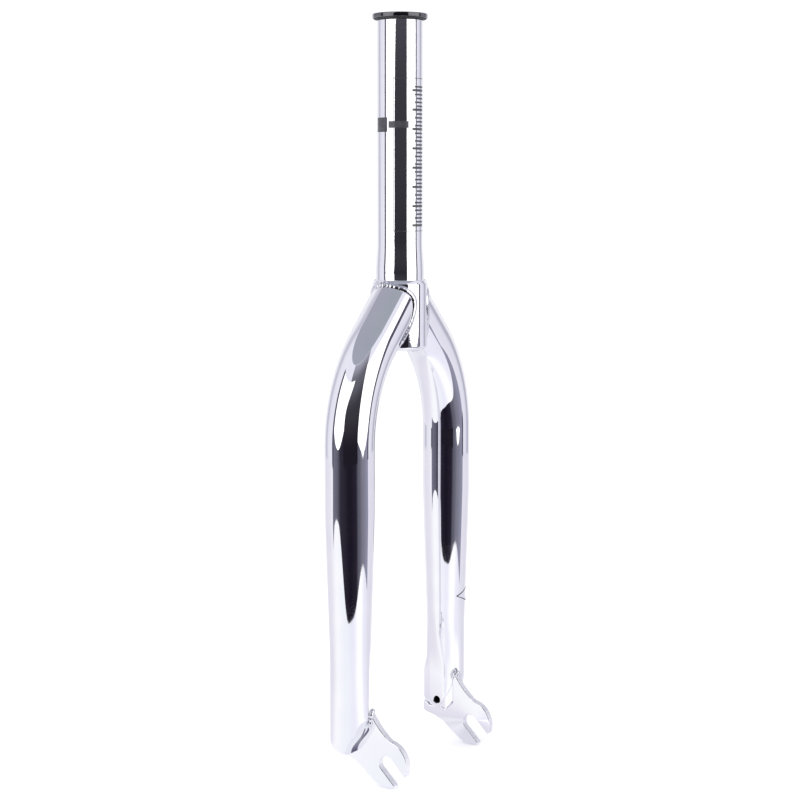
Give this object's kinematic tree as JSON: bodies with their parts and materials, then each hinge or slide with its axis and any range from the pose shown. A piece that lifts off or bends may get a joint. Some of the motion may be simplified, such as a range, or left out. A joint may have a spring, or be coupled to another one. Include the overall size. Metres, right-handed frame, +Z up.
{
  "type": "bicycle fork",
  "caption": "Rigid chromed bicycle fork with a threadless steerer, two bent and tapered legs, slotted dropouts and a screw-in top cap.",
  "frame": {"origin": "on the steerer's axis, in the plane of the crown shoulder that the crown race rests on", "axes": "+Z up along the steerer, -Y forward (the way the axle is offset), +X towards the rider's left"},
  "size_m": [0.148, 0.0565, 0.4796],
  "materials": {
    "chrome": "mirror chrome plate",
    "weld": "chrome plate over an as-laid weld bead",
    "cap": "gloss black anodised",
    "seal": "smooth",
    "mark": "printed film, satin"
  },
  "bodies": {
    "fork": {"steerer_tube": "chrome", "left_leg": "chrome", "right_leg": "chrome", "left_dropout": "chrome", "right_dropout": "chrome", "left_crown_weld": "weld", "right_crown_weld": "weld", "left_dropout_weld": "weld", "right_dropout_weld": "weld"},
    "preload_seal": {"preload_ring": "seal"},
    "preload_bolt": {"preload_cap": "cap"}
  },
  "joints": [
    {"name": "preload_lift", "type": "slide", "parent": "fork", "child": "preload_seal", "axis": [0, 0, 1], "range_m": [0, 0.0181]},
    {"name": "preload_turn", "type": "hinge", "parent": "preload_seal", "child": "preload_bolt", "pos_m": [0, 0, 0.1637], "axis": [0, 0, 1], "range_deg": [0, 4320]}
  ],
  "couplings": [
    {"joint": "preload_lift", "follows": "preload_turn", "m_per_rad": 0.00023873}
  ]
}
